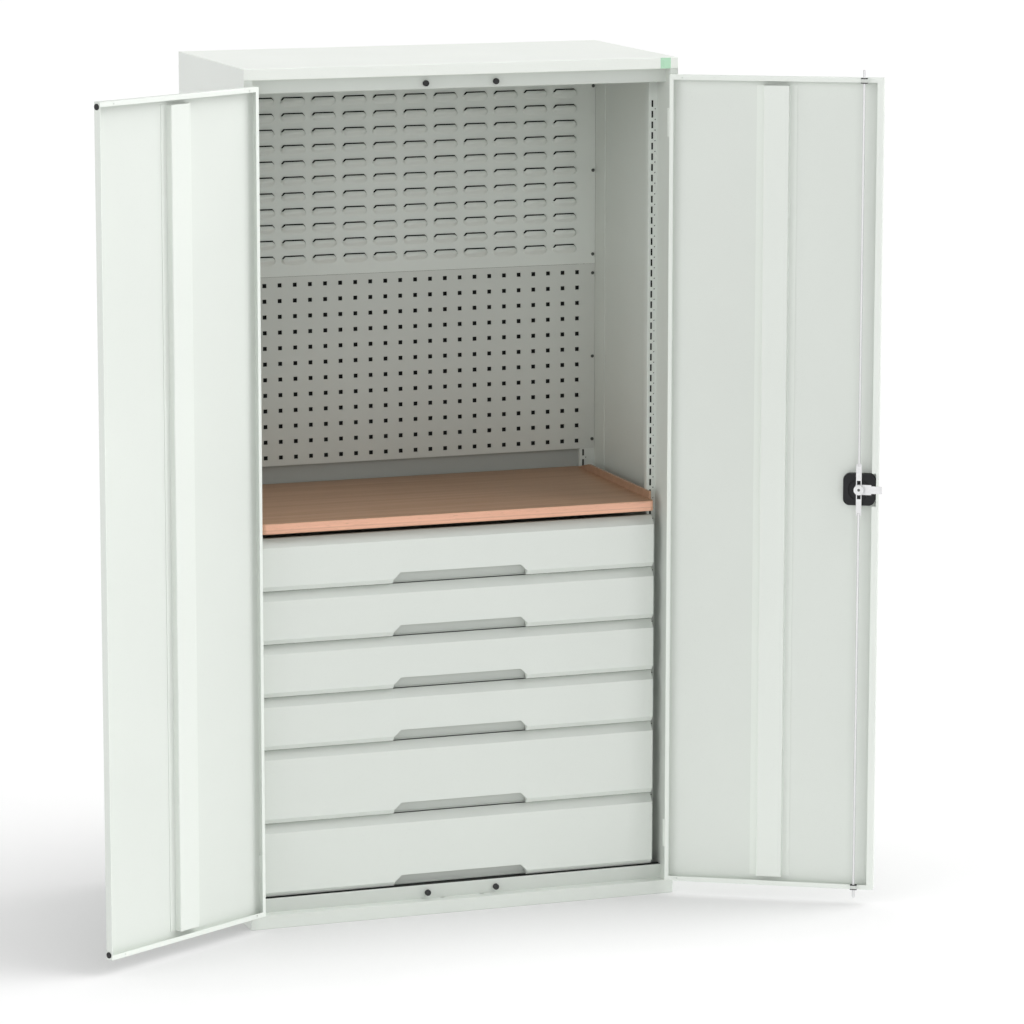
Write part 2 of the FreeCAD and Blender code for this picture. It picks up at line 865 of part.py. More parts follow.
def rod_guides():
    half = guide_width / 2
    y = (door_inner_y, rail_y - guide_to_rail)
    bore_size = rod_diameter + running_gap + running_gap
    guides = []
    for foot in (door_foot + guide_end_gap, door_top - guide_end_gap - guide_height):
        block = plate((lock_x - half, lock_x + half), y, (foot, foot + guide_height))
        length = guide_height + cut_overrun + cut_overrun
        guides.append(block.cut(rod(lock_x, rod_y, foot - cut_overrun, bore_size, Vector(0, 0, 1), length)))
    return Part.makeCompound(guides)


def door_handle():
    # A turning handle on the outer face: a round base and a lever that hangs down when the door is locked.
    toward_front = Vector(0, -1, 0)
    base_y = front - running_gap
    lever_y = base_y - handle_disc_thickness
    base = rod(lock_x, base_y, door_middle_z, handle_disc, toward_front, handle_disc_thickness)
    hub = rod(lock_x, lever_y, door_middle_z, handle_disc, toward_front, handle_thickness)
    half = handle_width / 2
    end_z = door_middle_z - handle_length + half
    lever_range = (lever_y - handle_thickness, lever_y)
    lever = plate((lock_x - half, lock_x + half), lever_range, (end_z, door_middle_z))
    lever_end = rod(lock_x, lever_y, end_z, handle_width, toward_front, handle_thickness)
    bore_size = core_diameter + running_gap + running_gap
    bore_start = lever_y - handle_thickness - cut_overrun
    bore_length = core_depth + running_gap + cut_overrun
    bore = rod(lock_x, bore_start, door_middle_z, bore_size, Vector(0, 1, 0), bore_length)
    return joined([base, hub, lever, lever_end]).cut(bore)


def lock_cylinder():
    face_y = front - running_gap - handle_disc_thickness - handle_thickness
    length = core_depth + core_proud
    core = rod(lock_x, face_y - core_proud, door_middle_z, core_diameter, Vector(0, 1, 0), length)
    half = key_slot_width / 2
    tall = key_slot_length / 2
    key_slot = plate(
        (lock_x - half, lock_x + half),
        (face_y - core_proud - cut_overrun, face_y - core_proud + key_slot_depth),
        (door_middle_z - tall, door_middle_z + tall),
    )
    return core.cut(key_slot)


def badge_plate():
    half = badge_size / 2
    x = half_width - badge_side_inset
    z = (fascia_foot + cabinet_height) / 2
    return plate((x - half, x + half), (front - badge_thickness, front), (z - half, z + half))


def opened(shape, side):
    # Swings a closed piece of the right (1) or left (-1) door to its open rest position.
    turned = shape.copy()
    turned.rotate(Vector(side * pivot_x, pivot_y, 0), Vector(0, 0, 1), side * door_open_angle)
    return turned


def cabinet_nodes():
    nodes = {
        "side_panel_left": mirrored(side_panel()),
        "side_panel_right": side_panel(),
        "back_panel": back_panel(),
        "top_panel": top_panel(),
        "base_tray": base_tray(),
        "top_front_rail": front_rail(fascia_foot - rail_height, fascia_foot - rail_height),
        "bottom_front_rail": front_rail(plinth_height, plinth_height + rail_height - sheet),
        "front_post_left": mirrored(front_post()),
        "front_post_right": front_post(),
        "rear_post_left": mirrored(rear_post()),
        "rear_post_right": rear_post(),
        "louvre_panel": louvre_panel(),
        "perforated_panel": perforated_panel(),
        "panel_screws": panel_screws(),
        "worktop": worktop(),
        "worktop_battens": worktop_battens(),
        "worktop_brackets": worktop_brackets(),
        "fixed_runners": fixed_runners(),
        "rail_buffers": rail_buffers(),
        "badge_plate": badge_plate(),
        "hinge_frame_leaves": both_sides(frame_leaves()),
        "hinge_pins": both_sides(hinge_pins()),
    }
    for number, (foot, top) in enumerate(drawer_levels(), start=1):
        nodes[f"drawer_front_{number}"] = drawer_front(foot, top)
        nodes[f"drawer_box_{number}"] = drawer_box(foot, top)
        nodes[f"drawer_runners_{number}"] = drawer_runners(foot)
        nodes[f"slide_middles_{number}"] = slide_middles(foot)
    left_door = {
        "left_door_panel": left_door_panel(),
        "left_door_stiffener": mirrored(door_stiffener()),
        "left_door_buffers": left_door_buffers(),
        "left_door_hinge_leaves": mirrored(door_leaves()),
    }
    right_door = {
        "right_door_panel": right_door_panel(),
        "right_door_stiffener": door_stiffener(),
        "right_door_hinge_leaves": door_leaves(),
        "lock_housing": lock_housing(),
        "lock_hub": lock_hub(),
        "upper_rod": lock_rod(1, upper_flat_y),
        "lower_rod": lock_rod(-1, lower_flat_y),
        "rod_guides": rod_guides(),
        "door_handle": door_handle(),
        "lock_cylinder": lock_cylinder(),
    }
    nodes.update({name: opened(shape, -1) for name, shape in left_door.items()})
    nodes.update({name: opened(shape, 1) for name, shape in right_door.items()})
    return nodes


os.makedirs("parts", exist_ok=True)
for node_name, node_shape in cabinet_nodes().items():
    node_shape.exportStep(f"parts/{node_name}.step")
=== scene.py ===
import json
import math

import bmesh
import bpy
from mathutils import Matrix, Vector


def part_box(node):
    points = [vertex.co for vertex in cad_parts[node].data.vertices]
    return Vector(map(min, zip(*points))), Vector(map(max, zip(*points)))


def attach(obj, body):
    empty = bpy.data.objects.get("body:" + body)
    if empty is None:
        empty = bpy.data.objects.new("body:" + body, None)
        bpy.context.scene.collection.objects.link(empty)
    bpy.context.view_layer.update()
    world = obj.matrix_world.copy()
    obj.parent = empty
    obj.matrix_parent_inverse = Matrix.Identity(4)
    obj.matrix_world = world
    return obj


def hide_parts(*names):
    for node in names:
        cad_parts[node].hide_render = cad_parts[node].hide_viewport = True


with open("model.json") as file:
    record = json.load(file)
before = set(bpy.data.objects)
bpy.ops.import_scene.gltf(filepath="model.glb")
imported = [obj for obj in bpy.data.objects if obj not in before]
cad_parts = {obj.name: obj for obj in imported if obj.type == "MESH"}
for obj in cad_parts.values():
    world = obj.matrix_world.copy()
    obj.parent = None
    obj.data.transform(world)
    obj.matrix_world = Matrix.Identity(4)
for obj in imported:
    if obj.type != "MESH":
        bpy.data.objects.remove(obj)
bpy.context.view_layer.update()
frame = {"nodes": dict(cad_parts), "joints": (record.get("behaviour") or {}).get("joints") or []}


# Small helpers that every piece uses

def srgb(red, green, blue):
    # a colour as a screen shows it (0 to 255), made linear
    parts = []
    for value in (red, green, blue):
        part = value / 255
        parts.append(part / 12.92 if part <= 0.04045 else ((part + 0.055) / 1.055) ** 2.4)
    return (*parts, 1.0)


def jointNamed(name):
    return next(joint for joint in frame["joints"] if joint["name"] == name)


doorSwing = {
    "restAngle": 150,  # the doors stand open by this much at rest
    "leftJoint": "left_door_hinge",
    "rightJoint": "right_door_hinge",
}


def swingOf(side):
    # takes a piece drawn on the closed left (-1) or right (1) door to where the door stands at rest
    pivot = Vector(jointNamed(doorSwing["rightJoint" if side > 0 else "leftJoint"])["pos_m"])
    turn = Matrix.Rotation(math.radians(side * doorSwing["restAngle"]), 4, "Z")
    return Matrix.Translation(pivot) @ turn @ Matrix.Translation(-pivot)


def finishPiece(bm, name, body, material, nodes=(), modifiers=()):
    # turns a bmesh into a piece that rides on its body and stands for its CAD nodes
    mesh = bpy.data.meshes.new(name)
    bm.to_mesh(mesh)
    bm.free()
    piece = bpy.data.objects.new(name, mesh)
    bpy.context.scene.collection.objects.link(piece)
    materials = material if isinstance(material, (list, tuple)) else [material]
    for one in materials:
        mesh.materials.append(one)
    for kind, values in modifiers:
        modifier = piece.modifiers.new(kind.title(), kind)
        for key, value in values.items():
            setattr(modifier, key, value)
    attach(piece, body)
    if nodes:
        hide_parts(*nodes)
    return piece


def bevelEdges(bm, edges, radius, segments=3):
    result = bmesh.ops.bevel(
        bm, geom=list(edges), offset=radius, offset_type="OFFSET", segments=segments,
        profile=0.5, affect="EDGES", clamp_overlap=True, material=-1,
    )
    for face in result["faces"]:
        face.smooth = True


def addBox(bm, low, high):
    # a box between two corners, as a create_cube that is scaled and moved
    size = Vector(high) - Vector(low)
    middle = (Vector(high) + Vector(low)) / 2
    matrix = Matrix.Translation(middle) @ Matrix.Diagonal((*size, 1))
    return bmesh.ops.create_cube(bm, size=1, matrix=matrix)["verts"]


def cutAcross(bm, place, normal):
    geometry = bm.verts[:] + bm.edges[:] + bm.faces[:]
    bmesh.ops.bisect_plane(bm, geom=geometry, plane_co=place, plane_no=normal)


# Shader groups

def newGroup(name, inputs, outputs):
    group = bpy.data.node_groups.new(name, "ShaderNodeTree")
    for label, kind, value in inputs:
        group.interface.new_socket(label, in_out="INPUT", socket_type=kind).default_value = value
    for label, kind in outputs:
        group.interface.new_socket(label, in_out="OUTPUT", socket_type=kind)
    return group, group.nodes.new("NodeGroupInput"), group.nodes.new("NodeGroupOutput")


def addNoise(group, coordinates, scale, detail=2.0, roughness=0.5):
    noise = group.nodes.new("ShaderNodeTexNoise")
    noise.inputs["Detail"].default_value = detail
    noise.inputs["Roughness"].default_value = roughness
    if isinstance(scale, (int, float)):
        noise.inputs["Scale"].default_value = scale
    else:
        group.links.new(scale, noise.inputs["Scale"])
    group.links.new(coordinates, noise.inputs["Vector"])
    return noise.outputs["Fac"]


def addMath(group, operation, first, second=None):
    node = group.nodes.new("ShaderNodeMath")
    node.operation = operation
    for socket, value in zip(node.inputs, (first, second)):
        if value is None:
            continue
        if isinstance(value, (int, float)):
            socket.default_value = value
        else:
            group.links.new(value, socket)
    return node.outputs[0]


def addRange(group, value, low, high, fromLow=0.3, fromHigh=0.7):
    node = group.nodes.new("ShaderNodeMapRange")
    node.inputs["From Min"].default_value = fromLow
    node.inputs["From Max"].default_value = fromHigh
    for label, part in (("To Min", low), ("To Max", high)):
        if isinstance(part, (int, float)):
            node.inputs[label].default_value = part
        else:
            group.links.new(part, node.inputs[label])
    group.links.new(value, node.inputs["Value"])
    return node.outputs["Result"]


def colourMix(group, blend, factor, first, second):
    node = group.nodes.new("ShaderNodeMix")
    node.data_type = "RGBA"
    node.blend_type = blend
    for index, value in ((0, factor), (6, first), (7, second)):
        socket = node.inputs[index]
        if isinstance(value, (int, float, tuple)):
            socket.default_value = value
        else:
            group.links.new(value, socket)
    return node.outputs[2]


def powderCoatGroup():
    # sprayed powder paint: a faint drift of shade, a fine orange-peel skin and slight dust specks
    group, start, end = newGroup(
        "powderCoat",
        [
            ("Color", "NodeSocketColor", (0.8, 0.8, 0.8, 1)),
            ("Drift", "NodeSocketFloat", 0.03),
            ("Gloss", "NodeSocketFloat", 0.42),
            ("Dust", "NodeSocketFloat", 0.04),
        ],
        [("Color", "NodeSocketColor"), ("Roughness", "NodeSocketFloat"), ("Height", "NodeSocketFloat")],
    )
    place = group.nodes.new("ShaderNodeTexCoord").outputs["Object"]
    slow = addNoise(group, place, 2.2, 3)
    low = addMath(group, "SUBTRACT", 1.0, start.outputs["Drift"])
    shade = addRange(group, slow, low, 1.0)
    tinted = colourMix(group, "MULTIPLY", 1.0, start.outputs["Color"], shade)
    specks = addRange(group, addNoise(group, place, 260, 2), 0.0, 1.0, 0.62, 0.72)
    dusty = addMath(group, "MULTIPLY", specks, start.outputs["Dust"])
    coloured = colourMix(group, "MIX", dusty, tinted, (0.35, 0.34, 0.31, 1))
    smear = addRange(group, addNoise(group, place, 7, 4), -0.05, 0.07)
    rough = addMath(group, "ADD", start.outputs["Gloss"], smear)
    peel = addNoise(group, place, 900, 1)
    wave = addMath(group, "MULTIPLY", addNoise(group, place, 60, 1), 0.6)
    group.links.new(coloured, end.inputs["Color"])
    group.links.new(rough, end.inputs["Roughness"])
    group.links.new(addMath(group, "ADD", peel, wave), end.inputs["Height"])
    return group


def woodGroup():
    # lacquered beech: faint streaks and short dark flecks on the flat, plies with glue lines on upright faces
    group, start, end = newGroup(
        "beech",
        [
            ("Flat", "NodeSocketColor", (0.6, 0.4, 0.25, 1)),
            ("Upright", "NodeSocketColor", (0.8, 0.45, 0.3, 1)),
            ("Streak", "NodeSocketFloat", 0.12),
            ("Foot", "NodeSocketFloat", 0.0),
            ("Ply", "NodeSocketFloat", 0.002),
            ("Ply Depth", "NodeSocketFloat", 0.2),
        ],
        [("Color", "NodeSocketColor"), ("Roughness", "NodeSocketFloat"), ("Height", "NodeSocketFloat")],
    )
    coordinates = group.nodes.new("ShaderNodeTexCoord")

    def stretched(scale):
        mapping = group.nodes.new("ShaderNodeMapping")
        mapping.inputs["Scale"].default_value = scale
        group.links.new(coordinates.outputs["Object"], mapping.inputs["Vector"])
        return mapping.outputs["Vector"]

    split = group.nodes.new("ShaderNodeSeparateXYZ")
    group.links.new(coordinates.outputs["Object"], split.inputs[0])
    normal = group.nodes.new("ShaderNodeSeparateXYZ")
    group.links.new(coordinates.outputs["Normal"], normal.inputs[0])
    upright = addRange(group, addMath(group, "ABSOLUTE", normal.outputs["Z"]), 1.0, 0.0, 0.3, 0.7)
    base = colourMix(group, "MIX", upright, start.outputs["Flat"], start.outputs["Upright"])
    streak = addNoise(group, stretched((0.8, 18, 18)), 2.0, 5, 0.65)
    darkest = addMath(group, "SUBTRACT", 1.0, start.outputs["Streak"])
    streaked = colourMix(group, "MULTIPLY", 1.0, base, addRange(group, streak, 1.0, darkest, 0.4, 0.66))
    fleck = addNoise(group, stretched((45, 620, 620)), 1.0, 1)
    flecked = colourMix(group, "MULTIPLY", 1.0, streaked, addRange(group, fleck, 1.0, 0.8, 0.62, 0.74))
    knots = addNoise(group, stretched((7, 30, 30)), 1.0, 2)
    marked = colourMix(group, "MULTIPLY", 1.0, flecked, addRange(group, knots, 1.0, 0.82, 0.7, 0.78))
    height = addMath(group, "SUBTRACT", split.outputs["Z"], start.outputs["Foot"])
    layer = addMath(group, "FLOOR", addMath(group, "DIVIDE", height, start.outputs["Ply"]))
    tone = group.nodes.new("ShaderNodeTexWhiteNoise")
    tone.noise_dimensions = "1D"
    group.links.new(layer, tone.inputs["W"])
    deepest = addMath(group, "SUBTRACT", 1.0, start.outputs["Ply Depth"])
    palest = addRange(group, tone.outputs["Value"], deepest, 1.0, 0.0, 1.0)
    saw = addMath(group, "FRACT", addMath(group, "DIVIDE", height, start.outputs["Ply"]))
    plies = addMath(group, "MULTIPLY", palest, addRange(group, saw, deepest, 1.0, 0.0, 0.22))
    darkening = addMath(group, "MULTIPLY", addMath(group, "SUBTRACT", plies, 1.0), upright)
    shown = addMath(group, "ADD", darkening, 1.0)
    group.links.new(colourMix(group, "MULTIPLY", 1.0, marked, shown), end.inputs["Color"])
    group.links.new(addRange(group, streak, 0.34, 0.46), end.inputs["Roughness"])
    group.links.new(addMath(group, "SUBTRACT", shown, fleck), end.inputs["Height"])
    return group


def platingGroup():
    # bright zinc: pale crystals, faint drawing lines and a patchy shine
    group, start, end = newGroup(
        "zincPlating",
        [
            ("Color", "NodeSocketColor", (0.8, 0.8, 0.78, 1)),
            ("Gloss", "NodeSocketFloat", 0.3),
            ("Drift", "NodeSocketFloat", 0.1),
        ],
        [("Color", "NodeSocketColor"), ("Roughness", "NodeSocketFloat"), ("Height", "NodeSocketFloat")],
    )
    place = group.nodes.new("ShaderNodeTexCoord").outputs["Object"]
    crystals = group.nodes.new("ShaderNodeTexVoronoi")
    crystals.inputs["Scale"].default_value = 240
    group.links.new(place, crystals.inputs["Vector"])
    grey = group.nodes.new("ShaderNodeRGBToBW")
    group.links.new(crystals.outputs["Color"], grey.inputs[0])
    low = addMath(group, "SUBTRACT", 1.0, start.outputs["Drift"])
    shade = addRange(group, grey.outputs[0], low, 1.0, 0.0, 1.0)
    group.links.new(colourMix(group, "MULTIPLY", 1.0, start.outputs["Color"], shade), end.inputs["Color"])
    patch = addRange(group, addNoise(group, place, 35, 3), -0.06, 0.1)
    group.links.new(addMath(group, "ADD", start.outputs["Gloss"], patch), end.inputs["Roughness"])
    group.links.new(addNoise(group, place, 500, 2), end.inputs["Height"])
    return group


def mouldedGroup():
    # moulded plastic or rubber: a fine pebbled skin, slightly rubbed
    group, start, end = newGroup(
        "mouldedSkin",
        [
            ("Color", "NodeSocketColor", (0.03, 0.03, 0.03, 1)),
            ("Gloss", "NodeSocketFloat", 0.45),
            ("Rub", "NodeSocketFloat", 0.2),
        ],
        [("Color", "NodeSocketColor"), ("Roughness", "NodeSocketFloat"), ("Height", "NodeSocketFloat")],
    )
    place = group.nodes.new("ShaderNodeTexCoord").outputs["Object"]
    pebbles = group.nodes.new("ShaderNodeTexVoronoi")
    pebbles.inputs["Scale"].default_value = 1500
    group.links.new(place, pebbles.inputs["Vector"])
    rubbed = addRange(group, addNoise(group, place, 45, 4), 0.0, start.outputs["Rub"], 0.45, 0.75)
    lighter = colourMix(group, "MIX", rubbed, start.outputs["Color"], (0.22, 0.22, 0.22, 1))
    group.links.new(lighter, end.inputs["Color"])
    drift = addRange(group, addNoise(group, place, 30, 3), -0.05, 0.08)
    group.links.new(addMath(group, "ADD", start.outputs["Gloss"], drift), end.inputs["Roughness"])
    height = addMath(group, "ADD", pebbles.outputs["Distance"], addNoise(group, place, 300, 1))
    group.links.new(height, end.inputs["Height"])
    return group


shaderGroups = {
    "powderCoat": powderCoatGroup(),
    "beech": woodGroup(),
    "zincPlating": platingGroup(),
    "mouldedSkin": mouldedGroup(),
}


def newMaterial(
    name, groupName, groupValues, shaderValues=None, bumpStrength=0.1, bumpDistance=0.0005, edgeShade=0.0,
):
    # edgeShade is painted shade: it darkens what turns away from the eye
    material = bpy.data.materials.new(name)
    material.use_nodes = True
    tree = material.node_tree
    shader = tree.nodes["Principled BSDF"]
    for label, value in (shaderValues or {}).items():
        shader.inputs[label].default_value = value
    skin = tree.nodes.new("ShaderNodeGroup")
    skin.node_tree = shaderGroups[groupName]
    for label, value in groupValues.items():
        skin.inputs[label].default_value = value
    bump = tree.nodes.new("ShaderNodeBump")
    bump.inputs["Strength"].default_value = bumpStrength
    bump.inputs["Distance"].default_value = bumpDistance
    colour = skin.outputs["Color"]
    if edgeShade:
        weight = tree.nodes.new("ShaderNodeLayerWeight")
        weight.inputs["Blend"].default_value = 0.4
        dark = (1 - edgeShade, 1 - edgeShade, 1 - edgeShade, 1)
        colour = colourMix(tree, "MULTIPLY", weight.outputs["Facing"], colour, dark)
    tree.links.new(colour, shader.inputs["Base Color"])
    tree.links.new(skin.outputs["Roughness"], shader.inputs["Roughness"])
    tree.links.new(skin.outputs["Height"], bump.inputs["Height"])
    tree.links.new(bump.outputs["Normal"], shader.inputs["Normal"])
    return material


paint = {
    "carcass": srgb(234, 238, 233),
    "door": srgb(231, 236, 230),
    # painted light: the door's inward lips, a lighter copy of the door paint
    "doorRimLit": srgb(243, 248, 242),
    # painted light: the door stiffener, a lighter copy of the door paint
    "stiffener": srgb(238, 243, 237),
    "drawer": srgb(230, 235, 229),
    # painted shade: the drawers' leaning top folds and the backs of their grips
    "drawerFoldShade": srgb(207, 212, 206),
    # painted shade: the drawer boxes and the parts inside the cabinet take darker copies of the cabinet paint
    "drawerBox": srgb(205, 210, 205),
    "louvre": srgb(217, 222, 216),
    "perforated": srgb(203, 207, 201),
    "inside": srgb(215, 220, 214),
    # painted shade: darker copies of the paint for the inner faces of the side walls and the back wall
    "sideWallShade": srgb(213, 218, 212),
    "backWallShade": srgb(168, 174, 170),
    # painted light: the top panel, a lighter copy of the cabinet paint
    "top": srgb(243, 247, 241),
    "tray": srgb(229, 234, 228),
    # painted shade: near black and dark grey for recesses and narrow gaps
    "recess": srgb(30, 33, 30),
    "gap": srgb(84, 88, 84),
}

materials = {
    "carcass": newMaterial("carcassPaint", "powderCoat", {"Color": paint["carcass"], "Drift": 0.03}),
    "door": newMaterial("doorPaint", "powderCoat", {"Color": paint["door"], "Drift": 0.03}),
    "doorRimLit": newMaterial("doorRimPaintedLight", "powderCoat", {"Color": paint["doorRimLit"], "Drift": 0.03}),
    "stiffener": newMaterial("stiffenerPaintedLight", "powderCoat", {"Color": paint["stiffener"], "Drift": 0.03}),
    "drawer": newMaterial("drawerPaint", "powderCoat", {"Color": paint["drawer"], "Drift": 0.03}),
    "drawerFoldShade": newMaterial("drawerFoldPaintedShade", "powderCoat", {"Color": paint["drawerFoldShade"], "Drift": 0.03}),
    "gap": newMaterial("gapShade", "powderCoat", {"Color": paint["gap"], "Drift": 0.1, "Gloss": 0.8}),
    "drawerBox": newMaterial("drawerBoxPaintedShade", "powderCoat", {"Color": paint["drawerBox"], "Drift": 0.05}),
    "louvre": newMaterial("louvrePaintedShade", "powderCoat", {"Color": paint["louvre"], "Drift": 0.03}),
    "perforated": newMaterial("perforatedPaintedShade", "powderCoat", {"Color": paint["perforated"], "Drift": 0.03}),
    "inside": newMaterial("postPaintedShade", "powderCoat", {"Color": paint["inside"], "Drift": 0.03}),
    "sideWallShade": newMaterial("sideWallPaintedShade", "powderCoat", {"Color": paint["sideWallShade"], "Drift": 0.04}),
    "backWallShade": newMaterial("backWallPaintedShade", "powderCoat", {"Color": paint["backWallShade"], "Drift": 0.06}),
    "top": newMaterial("topPaintedLight", "powderCoat", {"Color": paint["top"], "Drift": 0.03}),
    "tray": newMaterial("trayPaint", "powderCoat", {"Color": paint["tray"], "Drift": 0.04}),
    "recess": newMaterial(
        "recessShade", "powderCoat", {"Color": paint["recess"], "Drift": 0.2, "Gloss": 0.8},
    ),
    "hinge": newMaterial(
        "hingePaint", "powderCoat", {"Color": paint["door"], "Drift": 0.02, "Gloss": 0.35},
    ),
    "zinc": newMaterial("zincSteel", "zincPlating", {"Gloss": 0.32}, {"Metallic": 0.85}, 0.06),
    # painted shade: the lock's zinc darkens towards its outline
    "lockZinc": newMaterial(
        "lockZinc", "zincPlating", {"Color": srgb(246, 246, 247), "Gloss": 0.45, "Drift": 0.06},
        {"Metallic": 0.1}, 0.05, 0.0005, 0.75,
    ),
    "screw": newMaterial(
        "screwZinc", "zincPlating", {"Color": srgb(92, 96, 92), "Gloss": 0.4, "Drift": 0.3},
        {"Metallic": 0.5}, 0.05,
    ),
    "nylon": newMaterial(
        "guideNylon", "mouldedSkin", {"Color": srgb(218, 222, 217), "Gloss": 0.5, "Rub": 0.05},
        None, 0.08, 0.0002,
    ),
    "chrome": newMaterial("lockChrome", "zincPlating", {"Gloss": 0.12, "Drift": 0.03}, {"Metallic": 1.0}, 0.02),
    "blackPlastic": newMaterial(
        "blackPlastic", "mouldedSkin", {"Color": srgb(20, 20, 23), "Gloss": 0.5, "Rub": 0.03},
        {"Specular IOR Level": 0.3}, 0.12, 0.0003,
    ),
    "rubber": newMaterial(
        "blackRubber", "mouldedSkin", {"Color": srgb(34, 34, 35), "Gloss": 0.72, "Rub": 0.1},
        None, 0.2, 0.0004,
    ),
    "badge": newMaterial(
        "badgeEnamel", "mouldedSkin", {"Color": srgb(184, 228, 196), "Gloss": 0.25, "Rub": 0.0},
        {"Coat Weight": 0.4, "Coat Roughness": 0.15}, 0.03, 0.0002,
    ),
    "board": newMaterial(
        "beechBoard", "beech",
        {
            "Flat": srgb(180, 139, 108), "Upright": srgb(250, 193, 163), "Foot": 0.9265, "Ply": 0.00192,
            "Ply Depth": 0.16,
        },
        {"Coat Weight": 0.1, "Coat Roughness": 0.35}, 0.12, 0.0003,
    ),
    "batten": newMaterial(
        "beechBatten", "beech",
        {"Flat": srgb(180, 142, 116), "Upright": srgb(182, 144, 117), "Ply Depth": 0.0},
        {"Coat Weight": 0.1, "Coat Roughness": 0.35}, 0.1, 0.0003,
    ),
}
print("materials:", len(materials))


# Folded sheet pieces keep the outline of their CAD node and get the round bends of folded sheet

sheetMetal = {
    "sheet": 0.0015,
    "bendRadius": 0.0022,  # outside of a fold
    "innerRadius": 0.0007,
    "wideFace": 0.003,  # narrower faces are the cut edge of the sheet
    "shortEdge": 0.004,
    "foldAngle": 18,  # degrees between two faces
    "curveAngle": 35,  # smaller turns belong to a round stretch
    "flatAngle": 0.4,
    "mergeDistance": 0.00002,
}


def cleanCopy(node):
    # a merged copy of a CAD node with its flat faces made whole again
    bm = bmesh.new()
    bm.from_mesh(frame["nodes"][node].data)
    bmesh.ops.remove_doubles(bm, verts=bm.verts, dist=sheetMetal["mergeDistance"])
    flat = math.radians(sheetMetal["flatAngle"])
    bmesh.ops.dissolve_limit(bm, angle_limit=flat, verts=bm.verts, edges=bm.edges)
    for face in bm.faces:
        face.smooth = False
    for edge in bm.edges:
        turn = math.degrees(edge.calc_face_angle(0))
        if 1 < turn < sheetMetal["curveAngle"]:
            for face in edge.link_faces:
                face.smooth = True
    return bm


def reachesBehind(face, edge, distance):
    # whether the face is at least this wide behind the middle of its edge
    loop = next(loop for loop in face.loops if loop.edge is edge)
    along = (loop.link_loop_next.vert.co - loop.vert.co).normalized()
    inward = face.normal.cross(along)
    point = (edge.verts[0].co + edge.verts[1].co) / 2 + inward * distance
    crossings = 0
    for loop in face.loops:
        first, second = loop.vert.co - point, loop.link_loop_next.vert.co - point
        firstRise, secondRise = first.dot(inward), second.dot(inward)
        if (firstRise > 0) != (secondRise > 0):
            share = firstRise / (firstRise - secondRise)
            crossings += first.lerp(second, share).dot(along) > 0
    return crossings % 2 == 1


def isFold(edge):
    if edge.calc_face_angle(0) < math.radians(sheetMetal["foldAngle"]):
        return False
    if edge.calc_length() < sheetMetal["shortEdge"]:
        return False
    return all(reachesBehind(face, edge, sheetMetal["wideFace"]) for face in edge.link_faces)


def foldedPiece(node, name, body, material, radius=None, change=None):
    # node is the CAD node that it takes the place of, and change may shade faces or add to the piece
    bm = cleanCopy(node)
    outer = radius or sheetMetal["bendRadius"]
    bevelEdges(bm, [edge for edge in bm.edges if isFold(edge) and edge.is_convex], outer)
    inner = [edge for edge in bm.edges if isFold(edge) and not edge.is_convex]
    bevelEdges(bm, inner, sheetMetal["innerRadius"], 2)
    if change:
        change(bm)
    return finishPiece(bm, name, body, material, [node])


recess = {
    "hem": 0.0165,  # the post's hem ends this far behind the front of its slotted face
    "postWeb": 0.0145,
    "webSheet": 0.0012,
    "webClearance": 0.0003,
    "webEndGap": 0.001,
    "panelOverlap": 0.012,
    "topDepth": 0.0005,
}


def closePost(node):
    # the web that makes a front post a closed box behind its slots, with its face toward the slots painted
    # shade
    low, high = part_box(node)
    side = math.copysign(1, low.x)
    slotted = max(frame["nodes"][node].data.vertices, key=lambda vertex: vertex.co.y).co.y - recess["hem"]

    def change(bm):
        inner, outer = sorted((abs(low.x), abs(high.x)))
        near = inner + sheetMetal["sheet"] + recess["webClearance"]
        far = outer - sheetMetal["sheet"] * 2 - recess["webClearance"]
        start = slotted + recess["postWeb"]
        verts = addBox(
            bm, (min(side * near, side * far), start, low.z + recess["webEndGap"]),
            (max(side * near, side * far), start + recess["webSheet"], high.z - recess["webEndGap"]),
        )
        bm.normal_update()
        for face in {face for vert in verts for face in vert.link_faces}:
            # painted shade: the web's face toward the slots takes the near black recess paint
            face.material_index = 1 if face.normal.y < -0.5 else 0

    return change


def shadeBack(bm):
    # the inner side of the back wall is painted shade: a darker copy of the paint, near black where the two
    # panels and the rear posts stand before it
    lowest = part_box("perforated_panel")[0].z + recess["panelOverlap"]
    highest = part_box("louvre_panel")[1].z - recess["panelOverlap"]
    postX = abs(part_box("rear_post_left")[1].x) + sheetMetal["sheet"]
    for height in (lowest, highest):
        cutAcross(bm, (0, 0, height), (0, 0, 1))
    for place in (-postX, postX):
        cutAcross(bm, (place, 0, 0), (1, 0, 0))
    for face in bm.faces:
        middle = face.calc_center_median()
        if face.normal.y < -0.9:
            face.material_index = 1 if lowest < middle.z < highest or abs(middle.x) > postX else 2


def shadeSide(bm):
    # the inner side of a side wall takes a darker copy of the paint, painted shade
    for face in bm.faces:
        if face.normal.x * face.calc_center_median().x < 0 and abs(face.normal.x) > 0.9:
            face.material_index = 2


def shadeTop(bm):
    # the upward face at the top of a piece that has only a narrow gap above it gets painted shade
    highest = max(vert.co.z for vert in bm.verts)
    for face in bm.faces:
        if face.normal.z > 0.95 and face.calc_center_median().z > highest - recess["topDepth"]:
            face.material_index = 1


